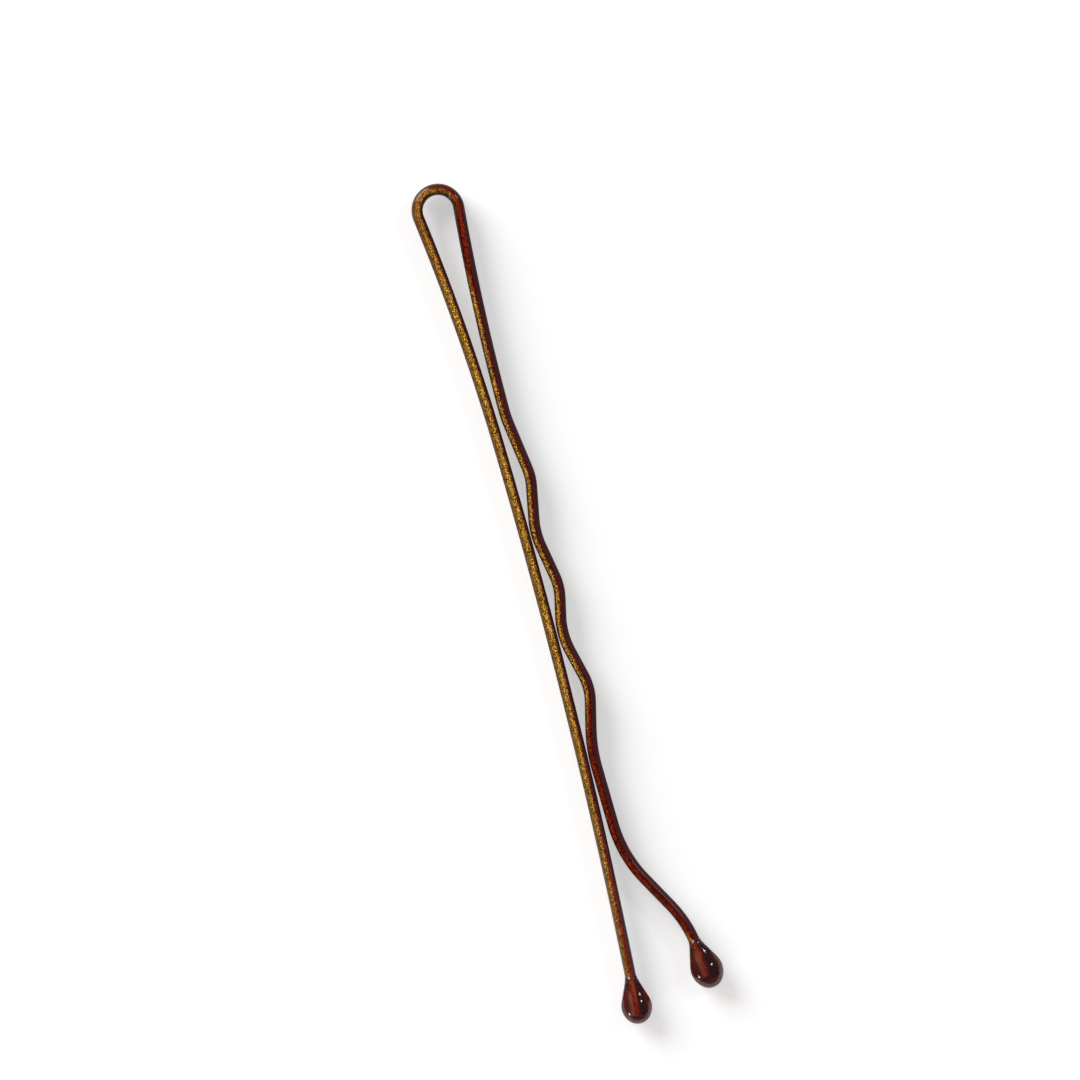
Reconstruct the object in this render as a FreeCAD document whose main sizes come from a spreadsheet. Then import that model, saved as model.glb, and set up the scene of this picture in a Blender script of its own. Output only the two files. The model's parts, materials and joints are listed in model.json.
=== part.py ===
import FreeCAD, Part
import math
import os
from types import SimpleNamespace

import Sketcher

# Driving dimensions: lengths in millimetres, angles in degrees.
# A station is a distance down the pin from the loop's centre, and a step is one from the bend before.
# A rise is a crest's height over the touches, and a run is the straight stretch before or after a bend.
# Every radius but the loop's is at the wire's centreline.
SIZES = {
    "wire_thickness": 0.67,
    "wire_width": 1.4,
    "contact_gap": 0.03,
    "loop_inner_radius": 0.9,
    "root_radius": 138.0,
    "flex_station": 7.2,
    "straight_root_station": 14.8,
    "straight_bow_radius": 380.0,
    "straight_tail": 12.93,
    "wavy_root_station": 12.4,
    "lead_in_gap": 0.222,
    "crest_radius": 3.4,
    "crest_1_step": 4.01,
    "crest_1_rise": 0.55,
    "crest_1_run": 2.83,
    "touch_1_step": 3.49,
    "touch_1_run": 1.93,
    "crest_2_step": 3.22,
    "crest_2_rise": 0.43,
    "crest_2_run": 1.92,
    "touch_2_step": 2.8,
    "touch_2_run": 1.12,
    "crest_3_step": 3.55,
    "crest_3_rise": 0.64,
    "crest_3_run": 1.64,
    "touch_3_step": 4.2,
    "touch_3_run": 1.63,
    "last_touch_radius": 9.0,
    "last_touch_angle": -0.2,
    "last_touch_run": 3.455,
    "flare_radius": 7.6,
    "flare_angle": 28.0,
    "flare_run": 2.16,
    "tip_radius": 7.1,
    "tip_angle": 7.7,
    "tip_run": 0.15,
    "bead_film": 0.05,
    "straight_bead_belly": 1.6,
    "straight_bead_side_film": 0.21,
    "straight_bead_end_film": 0.55,
    "straight_wire_end": 0.5,
    "wavy_bead_belly": 1.7,
    "wavy_bead_side_film": 0.26,
    "wavy_bead_end_film": 0.75,
    "wavy_wire_end": 0.4,
}
size = SimpleNamespace(**SIZES)

# Places that follow from the sizes, as formulas of a second sheet.
# The two root bends mirror each other and bring the legs from the loop to the lead-in gap.
PLACES = {
    "loop_radius": "Sizes.loop_inner_radius + Sizes.wire_thickness / 2",
    "root_reach": "loop_radius + Sizes.root_radius",
    "lead_in_offset": "(Sizes.lead_in_gap + Sizes.wire_thickness) / 2",
    "lead_in_reach": "sqrt(lead_in_offset^2 + Sizes.wavy_root_station^2)",
    "reach_squares": "root_reach^2 + lead_in_reach^2 - Sizes.root_radius^2",
    "reach_angle": "acos(reach_squares / (2 * root_reach * lead_in_reach))",
    "toe_in": "90 deg - atan(lead_in_offset / Sizes.wavy_root_station) - reach_angle",
    "root_x": "root_reach * cos(toe_in)",
    "root_y": "-root_reach * sin(toe_in)",
    "meet_sine": "(-Sizes.straight_root_station - root_y) / Sizes.root_radius",
    "bow_shift": "Sizes.root_radius - Sizes.straight_bow_radius",
    "bow_x": "-root_x + bow_shift * sqrt(1 - meet_sine^2)",
    "bow_y": "root_y + bow_shift * meet_sine",
}
# The crests and touches of the wavy leg, each at its reach from the centre of the straight leg's bow
APEX_NAMES = [f"{kind}_{number}" for number in (1, 2, 3) for kind in ("crest", "touch")]
station_before = "Sizes.wavy_root_station"
for name in APEX_NAMES:
    rise = f" + Sizes.{name}_rise" if name.startswith("crest") else ""
    PLACES[f"{name}_station"] = f"{station_before} + Sizes.{name}_step"
    PLACES[f"{name}_reach"] = f"Sizes.straight_bow_radius + Sizes.wire_thickness + Sizes.contact_gap{rise}"
    station_before = f"{name}_station"
PLACES["straight_neck_station"] = f"{station_before} + Sizes.straight_tail"
PLACES["straight_tip_angle"] = "asin((-straight_neck_station - bow_y) / Sizes.straight_bow_radius)"
# The beads: two arcs round the nose of each, and meet where its surface leans at 45 degrees
PLACES["neck_radius"] = "Sizes.wire_thickness / 2 + Sizes.bead_film"
for side in ("straight", "wavy"):
    belly, wire_end = f"Sizes.{side}_bead_belly", f"Sizes.{side}_wire_end"
    radius, nose = f"{side}_bead_radius", f"{side}_bead_nose"
    PLACES[f"{side}_tip_depth"] = f"{belly} + {wire_end}"
    PLACES[radius] = f"Sizes.wire_width / 2 + Sizes.{side}_bead_side_film"
    PLACES[nose] = f"{wire_end} + Sizes.{side}_bead_end_film"
    PLACES[f"{side}_bead_length"] = f"{belly} + {nose}"
    PLACES[f"{side}_swell_radius"] = f"({nose} - tan(22.5) * {radius}) / (2 - sqrt(2))"
    PLACES[f"{side}_cap_radius"] = f"({radius} - tan(22.5) * {nose}) / (2 - sqrt(2))"

doc = FreeCAD.newDocument("bobby_pin")


def new_sheet(name, cells):
    sheet = doc.addObject("Spreadsheet::Sheet", name)
    for row, (alias, content) in enumerate(cells.items(), start=1):
        sheet.set(f"A{row}", alias)
        sheet.set(f"B{row}", content)
        sheet.setAlias(f"B{row}", alias)
    doc.recompute()
    return sheet


new_sheet("Sizes", {alias: str(value) for alias, value in SIZES.items()})
places = new_sheet("Places", {alias: f"={formula}" for alias, formula in PLACES.items()})
# The sheet's results, angles in degrees, for the first drawing of the sketches
PLACED = {alias: getattr(places.get(alias), "Value", places.get(alias)) for alias in PLACES}
placed = SimpleNamespace(**PLACED)

UP = FreeCAD.Vector(0, 0, 1)
LEFT_TURN = 1
RIGHT_TURN = -1
START, END, CENTRE = range(1, 4)
SKETCH_ORIGIN = (-1, START)
MERGE_DISTANCE = 1e-4


def point(x, y):
    return FreeCAD.Vector(x, y, 0)


def heading(lean):
    """Direction of a wire that runs down the pin and leans towards +X by the angle in radians."""
    return point(math.sin(lean), -math.cos(lean))


def left_of(lean):
    """Direction to the left of a wire with that heading."""
    return point(math.cos(lean), math.sin(lean))


class Bend:
    """A round bend of the wire's centreline, followed down the pin."""

    def __init__(self, centre, radius, turn):
        self.centre = centre
        self.radius = radius
        self.turn = turn

    def at(self, lean):
        """Point of the bend where the wire has that heading."""
        return self.centre - left_of(lean) * (self.turn * self.radius)

    def lean_at(self, station):
        """Heading of the wire where the bend reaches that station."""
        return math.asin(self.turn * (self.centre.y + station) / self.radius)


def run_between(first, second):
    """Heading of the straight run from one bend to the next."""
    across = second.centre - first.centre
    offset = second.turn * second.radius - first.turn * first.radius
    return math.atan2(across.x, -across.y) - math.asin(offset / across.Length)


toe_in = math.radians(placed.toe_in)
straight_root = Bend(point(-placed.root_x, placed.root_y), size.root_radius, RIGHT_TURN)
straight_bow = Bend(point(placed.bow_x, placed.bow_y), size.straight_bow_radius, RIGHT_TURN)
wavy_root = Bend(point(placed.root_x, placed.root_y), size.root_radius, LEFT_TURN)


class WavePoint:
    """A point of the wavy leg where one bend gives way to the next."""

    name = None
    radius_formula = None

    def __init__(self, place, lean, turn):
        self.place = place
        self.lean = lean
        self.turn = turn

    def bend(self, radius):
        return Bend(self.place + left_of(self.lean) * (self.turn * radius), radius, self.turn)

    def fitted_bend(self, crest, run):
        """Left bend at this point that a straight run of that length joins to the crest's bend."""
        across = self.place - crest.centre
        slack = across.dot(across) - crest.radius ** 2 - run ** 2
        return self.bend(slack / (2 * (crest.radius - across.dot(left_of(self.lean)))))


class Apex(WavePoint):
    """A crest or touch of the wavy leg, where its wire runs along the straight leg."""

    def __init__(self, name):
        crest = name.startswith("crest")
        lane = Bend(straight_bow.centre, PLACED[f"{name}_reach"], RIGHT_TURN)
        lean = lane.lean_at(PLACED[f"{name}_station"])
        super().__init__(lane.at(lean), lean, RIGHT_TURN if crest else LEFT_TURN)
        self.name = name
        self.radius_formula = "Sizes.crest_radius" if crest else None


root_lean = wavy_root.lean_at(size.wavy_root_station)
lead_in = WavePoint(wavy_root.at(root_lean), root_lean, LEFT_TURN)
apexes = {name: Apex(name) for name in APEX_NAMES}


def new_body(name):
    body = doc.addObject("PartDesign::Body", name)
    body.Label = name
    return body


def new_sketch(body, name, plane_role):
    sketch = body.newObject("Sketcher::SketchObject", f"{body.Name}_{name}")
    plane = next(item for item in body.Origin.OriginFeatures if item.Role == plane_role)
    sketch.AttachmentSupport = [(plane, "")]
    sketch.MapMode = "FlatFace"
    return sketch


def bind(sketch, formula, *constraint):
    """Add a dimension to the sketch and tie it to the sheet."""
    index = sketch.addConstraint(Sketcher.Constraint(*constraint))
    sketch.setExpression(f"Constraints[{index}]", formula)


def arc_between(centre, radius, first, last):
    """Arc from the first angle, counter-clockwise, to the last."""
    return Part.ArcOfCircle(Part.Circle(centre, UP, radius), first, last)


class WirePath:
    """A sketch of the wire's centreline: arcs and lines, each tangent to the one before it."""

    def __init__(self, body):
        self.sketch = new_sketch(body, "path", "XY_Plane")
        self.last = None
        self.count = 0
        self.ribs = {}

    def add(self, constraint, *points):
        self.sketch.addConstraint(Sketcher.Constraint(constraint, *points))

    def join(self, index, start, end):
        if self.last:
            self.add("Tangent", *self.last, index, start)
        self.last = (index, end)
        self.count += 1
        return index

    def arc(self, bend, first_lean, last_lean, radius_formula=None, first_rib=None, last_rib=None):
        """Follow the bend from one heading to the next, with either end at the apex on a rib."""
        turned = bend.turn == LEFT_TURN
        side = math.pi if turned else 0
        low, high = (first_lean, last_lean) if turned else (last_lean, first_lean)
        curve = arc_between(bend.centre, bend.radius, side + low, side + high)
        index = self.sketch.addGeometry(curve, False)
        start, end = (START, END) if turned else (END, START)
        self.join(index, start, end)
        if radius_formula:
            bind(self.sketch, radius_formula, "Radius", index, bend.radius)
        for rib, corner in ((first_rib, start), (last_rib, end)):
            if rib is not None:
                self.add("Coincident", index, corner, rib, END)
                self.add("PointOnObject", index, CENTRE, rib)
        if last_rib is not None:
            self.last = None
        return index

    def line(self, first, last, length_formula):
        index = self.sketch.addGeometry(Part.LineSegment(first, last), False)
        self.join(index, START, END)
        bind(self.sketch, length_formula, "Distance", index, (last - first).Length)
        return index

    def place(self, index, corner, axis, value, formula):
        """Set one coordinate of a corner of a line or arc, or of an arc's centre."""
        bind(self.sketch, formula, f"Distance{axis}", *SKETCH_ORIGIN, index, corner, value)

    def rib(self, wave_point):
        """Construction line from the centre of the straight leg's bow to a crest or touch, if it is one."""
        name = wave_point.name
        if name and name not in self.ribs:
            centre = straight_bow.centre
            index = self.sketch.addGeometry(Part.LineSegment(centre, wave_point.place), True)
            self.place(index, START, "X", centre.x, "Places.bow_x")
            self.place(index, START, "Y", centre.y, "Places.bow_y")
            self.place(index, END, "Y", wave_point.place.y, f"-Places.{name}_station")
            bind(self.sketch, f"Places.{name}_reach", "Distance", index, PLACED[f"{name}_reach"])
            self.ribs[name] = index
        return self.ribs.get(name)

    def swing(self, first, second):
        """Go over a straight run from a crest to the bend after it, or from a bend to the crest after."""
        run_name = f"{second.name}_run"
        crest, low = (first, second) if first.turn == RIGHT_TURN else (second, first)
        bends = {crest: crest.bend(size.crest_radius)}
        bends[low] = low.fitted_bend(bends[crest], SIZES[run_name])
        lean = run_between(bends[first], bends[second])
        self.arc(bends[first], first.lean, lean, first.radius_formula, first_rib=self.rib(first))
        self.line(bends[first].at(lean), bends[second].at(lean), f"Sizes.{run_name}")
        self.arc(bends[second], lean, second.lean, second.radius_formula, last_rib=self.rib(second))

    def end_in_bead(self, side, neck, lean):
        """Run straight on into the bead, and keep the place of its neck for the bead to read."""
        wire_end = neck + heading(lean) * PLACED[f"{side}_tip_depth"]
        tip = self.line(neck, wire_end, f"Places.{side}_tip_depth")
        for axis, value in (("X", neck.x), ("Y", neck.y)):
            measure = Sketcher.Constraint(f"Distance{axis}", *SKETCH_ORIGIN, tip, START, value)
            index = self.sketch.addConstraint(measure)
            self.sketch.setDriving(index, False)
            self.sketch.renameConstraint(index, f"neck_{axis.lower()}")


def add_stadium(sketch):
    """The wire's section: flat faces to left and right, full round edges above and below."""
    radius = size.wire_thickness / 2
    middle = (size.wire_width - size.wire_thickness) / 2
    right = sketch.addGeometry(Part.LineSegment(point(radius, -middle), point(radius, middle)), False)
    upper = sketch.addGeometry(arc_between(point(0, middle), radius, 0, math.pi), False)
    left = sketch.addGeometry(Part.LineSegment(point(-radius, middle), point(-radius, -middle)), False)
    lower = sketch.addGeometry(arc_between(point(0, -middle), radius, math.pi, 2 * math.pi), False)
    for first, second in ((right, upper), (upper, left), (left, lower), (lower, right)):
        sketch.addConstraint(Sketcher.Constraint("Tangent", first, END, second, START))
    sketch.addConstraint(Sketcher.Constraint("Vertical", right))
    sketch.addConstraint(Sketcher.Constraint("Vertical", left))
    sketch.addConstraint(Sketcher.Constraint("Symmetric", upper, CENTRE, lower, CENTRE, *SKETCH_ORIGIN))
    bind(sketch, "Sizes.wire_thickness / 2", "Radius", upper, radius)
    flat_formula = "Sizes.wire_width - Sizes.wire_thickness"
    bind(sketch, flat_formula, "DistanceY", lower, CENTRE, upper, CENTRE, 2 * middle)


def sweep_wire(body, path):
    """Sweep the wire's section along the whole path, from the open end of its first edge."""
    doc.recompute()
    first_edge = path.sketch.Shape.Edge1
    edge_start = first_edge.valueAt(first_edge.FirstParameter)
    inner_ends = [corner.Point for corner in path.sketch.Shape.Edge2.Vertexes]
    open_at_start = all(edge_start.distanceToPoint(inner) > MERGE_DISTANCE for inner in inner_ends)
    section = body.newObject("Sketcher::SketchObject", f"{body.Name}_section")
    section.AttachmentSupport = [(path.sketch, "Edge1")]
    section.MapMode = "NormalToEdge"
    section.MapPathParameter = 0.0 if open_at_start else 1.0
    add_stadium(section)
    pipe = body.newObject("PartDesign::AdditivePipe", f"{body.Name}_sweep")
    pipe.Profile = section
    pipe.Spine = (path.sketch, [f"Edge{number}" for number in range(1, path.count + 1)])


def make_bow():
    """The loop, with the first stretch of both legs up to their flex points."""
    body = new_body("bow")
    path = WirePath(body)
    flex_lean = straight_root.lean_at(size.flex_station)
    rising_root = path.sketch.addGeometry(
        arc_between(straight_root.centre, size.root_radius, flex_lean, toe_in), False
    )
    path.join(rising_root, START, END)
    bind(path.sketch, "Sizes.root_radius", "Radius", rising_root, size.root_radius)
    over_the_top = arc_between(point(0, 0), placed.loop_radius, -toe_in, math.pi + toe_in)
    loop = path.sketch.addGeometry(over_the_top, False)
    path.join(loop, END, START)
    bind(path.sketch, "Places.loop_radius", "Radius", loop, placed.loop_radius)
    path.add("Coincident", loop, CENTRE, *SKETCH_ORIGIN)
    falling_root = path.arc(wavy_root, -toe_in, wavy_root.lean_at(size.flex_station), "Sizes.root_radius")
    for root, flex_end in ((rising_root, START), (falling_root, END)):
        path.place(root, CENTRE, "Y", placed.root_y, "Places.root_y")
        path.place(root, flex_end, "Y", -size.flex_station, "-Sizes.flex_station")
    sweep_wire(body, path)
    return body


def make_straight_leg():
    """The plain leg from its flex point to its end inside the bead, bowed towards the wavy leg."""
    body = new_body("straight_leg")
    path = WirePath(body)
    flex_lean = straight_root.lean_at(size.flex_station)
    meet_lean = straight_root.lean_at(size.straight_root_station)
    tip_lean = math.radians(placed.straight_tip_angle)
    root = path.arc(straight_root, flex_lean, meet_lean, "Sizes.root_radius")
    path.place(root, CENTRE, "X", -placed.root_x, "-Places.root_x")
    path.place(root, CENTRE, "Y", placed.root_y, "Places.root_y")
    path.place(root, END, "Y", -size.flex_station, "-Sizes.flex_station")
    path.place(root, START, "Y", -size.straight_root_station, "-Sizes.straight_root_station")
    bow = path.arc(straight_bow, meet_lean, tip_lean, "Sizes.straight_bow_radius")
    neck = straight_bow.at(tip_lean)
    path.place(bow, START, "Y", neck.y, "-Places.straight_neck_station")
    path.end_in_bead("straight", neck, tip_lean)
    sweep_wire(body, path)
    return body


def make_wavy_shank():
    """The wavy leg from its flex point, where it nears the straight leg, up to its first crest."""
    body = new_body("wavy_shank")
    path = WirePath(body)
    root = path.arc(wavy_root, wavy_root.lean_at(size.flex_station), root_lean, "Sizes.root_radius")
    path.place(root, CENTRE, "X", placed.root_x, "Places.root_x")
    path.place(root, CENTRE, "Y", placed.root_y, "Places.root_y")
    path.place(root, START, "Y", -size.flex_station, "-Sizes.flex_station")
    path.place(root, END, "Y", -size.wavy_root_station, "-Sizes.wavy_root_station")
    path.swing(lead_in, apexes["crest_1"])
    sweep_wire(body, path)
    return body


def make_wave(body_name, *apex_names):
    """One wave of the wavy leg, from crest to crest, with its touch between them."""
    body = new_body(body_name)
    path = WirePath(body)
    crest, touch, next_crest = (apexes[apex_name] for apex_name in apex_names)
    path.swing(crest, touch)
    path.swing(touch, next_crest)
    sweep_wire(body, path)
    return body


def make_flared_end():
    """The wavy leg from its last crest: the last touch, the flare and the end inside the bead."""
    body = new_body("flared_end")
    path = WirePath(body)
    last_touch = apexes["touch_3"]
    path.swing(apexes["crest_3"], last_touch)
    place, lean, rib = last_touch.place, last_touch.lean, path.rib(last_touch)
    for bend_name, turn in (("last_touch", LEFT_TURN), ("flare", LEFT_TURN), ("tip", RIGHT_TURN)):
        bend = WavePoint(place, lean, turn).bend(SIZES[f"{bend_name}_radius"])
        last_lean = math.radians(SIZES[f"{bend_name}_angle"])
        path.arc(bend, lean, last_lean, f"Sizes.{bend_name}_radius", first_rib=rib)
        bend_end = bend.at(last_lean)
        place, lean, rib = bend_end + heading(last_lean) * SIZES[f"{bend_name}_run"], last_lean, None
        run = path.line(bend_end, place, f"Sizes.{bend_name}_run")
        bind(path.sketch, f"Sizes.{bend_name}_angle - 90", "Angle", run, lean - math.pi / 2)
    path.end_in_bead("wavy", place, lean)
    sweep_wire(body, path)
    return body


def make_bead(name, side, leg, lean):
    """A drop of resin turned about the wire's end, with a blind socket that the wire fills."""
    body = new_body(name)
    belly = SIZES[f"{side}_bead_belly"]
    radius, length, swell_radius, cap_radius = (
        PLACED[f"{side}_{part}"] for part in ("bead_radius", "bead_length", "swell_radius", "cap_radius")
    )
    belly_centre = point(radius - swell_radius, -belly)
    cap_centre = point(0, cap_radius - length)
    cap_angle = math.atan2(cap_centre.y - belly_centre.y, cap_centre.x - belly_centre.x)
    neck_edge = point(placed.neck_radius, 0)
    to_neck = neck_edge - belly_centre
    flank_angle = math.atan2(to_neck.y, to_neck.x) - math.acos(swell_radius / to_neck.Length)
    flank_end = belly_centre + point(math.cos(flank_angle), math.sin(flank_angle)) * swell_radius

    outline = new_sketch(body, "outline", "XY_Plane")
    neck = outline.addGeometry(Part.LineSegment(point(0, 0), neck_edge), False)
    flank = outline.addGeometry(Part.LineSegment(neck_edge, flank_end), False)
    swell = outline.addGeometry(arc_between(belly_centre, swell_radius, cap_angle, flank_angle), False)
    cap = outline.addGeometry(arc_between(cap_centre, cap_radius, -math.pi / 2, cap_angle), False)
    axis = outline.addGeometry(Part.LineSegment(point(0, -length), point(0, 0)), False)
    for constraint in (
        ("Coincident", neck, START, *SKETCH_ORIGIN),
        ("Horizontal", neck),
        ("Coincident", neck, END, flank, START),
        ("Tangent", flank, END, swell, END),
        ("Tangent", swell, START, cap, END),
        ("PointOnObject", cap, CENTRE, axis),
        ("Coincident", cap, START, axis, START),
        ("Vertical", axis),
        ("Coincident", axis, END, *SKETCH_ORIGIN),
    ):
        outline.addConstraint(Sketcher.Constraint(*constraint))
    bind(outline, "Places.neck_radius", "DistanceX", *SKETCH_ORIGIN, neck, END, placed.neck_radius)
    bind(outline, f"Places.{side}_swell_radius", "Radius", swell, swell_radius)
    bind(outline, f"-Sizes.{side}_bead_belly", "DistanceY", *SKETCH_ORIGIN, swell, CENTRE, -belly)
    bind(outline, f"Places.{side}_cap_radius", "Radius", cap, cap_radius)
    bind(outline, f"-Places.{side}_bead_length", "DistanceY", *SKETCH_ORIGIN, axis, START, -length)

    drop = body.newObject("PartDesign::Revolution", f"{name}_drop")
    drop.Profile = outline
    drop.ReferenceAxis = (outline, ["V_Axis"])
    drop.Angle = 360.0
    doc.recompute()
    full_volume = drop.Shape.Volume

    mouth = new_sketch(body, "mouth", "XZ_Plane")
    add_stadium(mouth)
    socket = body.newObject("PartDesign::Pocket", f"{name}_socket")
    socket.Profile = mouth
    socket.Type = "Length"
    socket.Reversed = True
    socket.setExpression("Length", f"Places.{side}_tip_depth")
    doc.recompute()
    if body.Shape.Volume >= full_volume:
        raise RuntimeError(f"{name}: the socket cuts nothing")

    body.setExpression("Placement.Base.x", f"{leg}_path.Constraints.neck_x")
    body.setExpression("Placement.Base.y", f"{leg}_path.Constraints.neck_y")
    body.setExpression("Placement.Rotation.Angle", lean)
    return body


subparts = [
    make_bow(),
    make_straight_leg(),
    make_wavy_shank(),
    make_wave("first_wave", "crest_1", "touch_1", "crest_2"),
    make_wave("second_wave", "crest_2", "touch_2", "crest_3"),
    make_flared_end(),
    make_bead("straight_tip_bead", "straight", "straight_leg", "Places.straight_tip_angle"),
    make_bead("wavy_tip_bead", "wavy", "flared_end", "Sizes.tip_angle"),
]
doc.recompute()

for item in doc.Objects:
    if "Invalid" in item.State or "Error" in item.State:
        raise RuntimeError(f"{item.Label} failed: {item.State}")
    if item.isDerivedFrom("Sketcher::SketchObject") and not item.FullyConstrained:
        raise RuntimeError(f"{item.Label} is not fully constrained")
for body in subparts:
    if body.Shape.isNull() or not body.Shape.isValid() or len(body.Shape.Solids) != 1:
        raise RuntimeError(f"{body.Label} is not one valid solid")

os.makedirs("parts", exist_ok=True)
for body in subparts:
    body.Shape.exportStep(f"parts/{body.Label}.step")
    box = body.Shape.BoundBox
    print(
        f"{body.Label}: {body.Shape.Volume:.3f} mm3,"
        f" X {box.XMin:.3f} to {box.XMax:.3f},"
        f" Y {box.YMin:.3f} to {box.YMax:.3f},"
        f" Z {box.ZMin:.3f} to {box.ZMax:.3f}"
    )
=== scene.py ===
import json
import math
from collections import namedtuple
from types import SimpleNamespace

import bpy
from bpy.props import FloatProperty, FloatVectorProperty, IntProperty, PointerProperty
from mathutils import Color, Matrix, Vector


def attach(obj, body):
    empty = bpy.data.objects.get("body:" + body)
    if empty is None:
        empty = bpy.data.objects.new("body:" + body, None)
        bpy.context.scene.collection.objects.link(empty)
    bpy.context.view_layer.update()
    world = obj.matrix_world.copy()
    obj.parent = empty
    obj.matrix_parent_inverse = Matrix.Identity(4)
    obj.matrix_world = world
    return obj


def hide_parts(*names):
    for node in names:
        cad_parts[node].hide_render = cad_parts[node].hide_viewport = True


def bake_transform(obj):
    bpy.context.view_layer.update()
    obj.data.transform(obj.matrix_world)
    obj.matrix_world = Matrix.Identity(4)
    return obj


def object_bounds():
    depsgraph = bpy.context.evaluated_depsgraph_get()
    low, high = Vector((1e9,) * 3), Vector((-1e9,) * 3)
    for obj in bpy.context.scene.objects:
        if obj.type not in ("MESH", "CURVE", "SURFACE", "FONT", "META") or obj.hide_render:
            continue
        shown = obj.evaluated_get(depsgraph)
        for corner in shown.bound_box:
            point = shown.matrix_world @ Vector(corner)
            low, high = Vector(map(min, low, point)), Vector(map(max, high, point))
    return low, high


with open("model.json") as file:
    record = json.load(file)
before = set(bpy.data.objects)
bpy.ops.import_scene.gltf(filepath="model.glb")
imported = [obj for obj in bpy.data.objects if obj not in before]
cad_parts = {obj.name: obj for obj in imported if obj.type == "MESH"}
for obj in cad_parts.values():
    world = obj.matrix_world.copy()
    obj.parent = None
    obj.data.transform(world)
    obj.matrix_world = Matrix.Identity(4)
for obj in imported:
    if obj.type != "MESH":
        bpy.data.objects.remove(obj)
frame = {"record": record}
CAD_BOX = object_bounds()
MOUNTS = {mount["name"]: mount for mount in frame["record"]["mounts"]}

bl_info = {
    "name": "Bobby Pin",
    "version": (1, 0, 0),
    "blender": (4, 5, 0),
    "location": "3D View > Sidebar > Bobby Pin",
    "description": "Models an enamelled bobby pin with resin tips around its CAD frame",
    "category": "Add Mesh",
}

MM = 0.001
SIDES = ("straight", "wavy")
LEFT_TURN = 1
RIGHT_TURN = -1
UP_AXIS = (0, 0, 1)
MERGE_DISTANCE = 0.002 * MM
SMOOTH_ANGLE = math.radians(40)
# Lean of a bead's surface where the two arcs round its nose meet, and the factors that set their radii
MEET_ANGLE = math.radians(45)
HALF_MEET = math.tan(MEET_ANGLE / 2)
MEET_SPAN = 2 - math.sqrt(2)
# How suddenly a bead's own round takes over from the film over the wire's edges
FILM_POWER = 12
# Millimetres, like the camera's focal length
SENSOR_WIDTH = 36.0
WHITE = (1, 1, 1, 1)
# Middle of the random colours that the cells of a pattern have
MIDDLE_CHANCE = (0.5, 0.5, 0.5)

# Stops down the pin, each as (station in millimetres below the loop's centre, value):
# the slopes at which the gold and the flakes end, where painted shade begins as red and then as bare dark
# enamel, and the gloss of the enamel that they leave bare
Stops = namedtuple("Stops", "gold flakes gloss")
WAVY_STOPS = Stops(
    gold=(
        (-2, 0.1), (-1.2, 0.05), (-0.3, -0.2), (0.8, -0.6), (2, -0.95), (3.5, -0.9), (5.5, -0.2),
        (28, -0.15), (30, -0.4), (33, -0.8), (38, -0.9), (44.5, -0.85), (45.5, -0.3),
    ),
    flakes=((-2, 0.9), (-0.5, 0.7), (1, 0.4), (2.5, 0.2), (50, 0.16)),
    gloss=((-2, 0.2), (2, 0.07), (50, 0.06)),
)
STRAIGHT_STOPS = Stops(
    gold=(
        (1.2, 0.45), (3, 0.5), (8, 0.5), (26, 0.5), (32, 0.2), (39, 0), (44, -0.25), (46, -0.3), (47, -0.2),
    ),
    flakes=((1.2, 0.6), (5, 0.54), (26, 0.52), (34, 0.4), (50, 0.36)),
    gloss=((1.2, 0.15), (10, 0.04), (28, 0.02), (36, 0.2), (42, 0.8), (50, 0.8)),
)

# Lamps of the studio, with their angles in degrees
Lamp = namedtuple("Lamp", "name azimuth elevation spread strength")
LAMPS = (
    Lamp("key_lamp", 118.8, 26, 42, 3.0),
    Lamp("glint_lamp", 22, 48, 9, 0.35),
    Lamp("low_lamp", 209, 14, 12, 0.5),
)


def length(name, description, millimetres):
    return FloatProperty(
        name=name, description=description, default=millimetres * MM, unit="LENGTH", precision=6
    )


def lengths(name, description, *millimetres):
    return FloatVectorProperty(
        name=name,
        description=description,
        default=[value * MM for value in millimetres],
        size=len(millimetres),
        unit="LENGTH",
        precision=6,
    )


def angle(name, description, degrees):
    return FloatProperty(
        name=name, description=description, default=math.radians(degrees), subtype="ANGLE"
    )


def angles(name, description, *degrees):
    return FloatVectorProperty(
        name=name,
        description=description,
        default=[math.radians(value) for value in degrees],
        size=len(degrees),
        subtype="EULER",
    )


def share(name, description, value):
    return FloatProperty(name=name, description=description, default=value, min=0, max=1, subtype="FACTOR")


def colour(name, description, *rgb):
    return FloatVectorProperty(
        name=name, description=description, default=rgb, size=3, min=0, max=1, subtype="COLOR"
    )


def number(name, description, value):
    return FloatProperty(name=name, description=description, default=value)


def numbers(name, description, *values):
    return FloatVectorProperty(name=name, description=description, default=values, size=len(values))


def count(name, description, value):
    return IntProperty(name=name, description=description, default=value)


def direction(name, description, *way):
    return FloatVectorProperty(name=name, description=description, default=way, size=3, subtype="DIRECTION")


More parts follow.
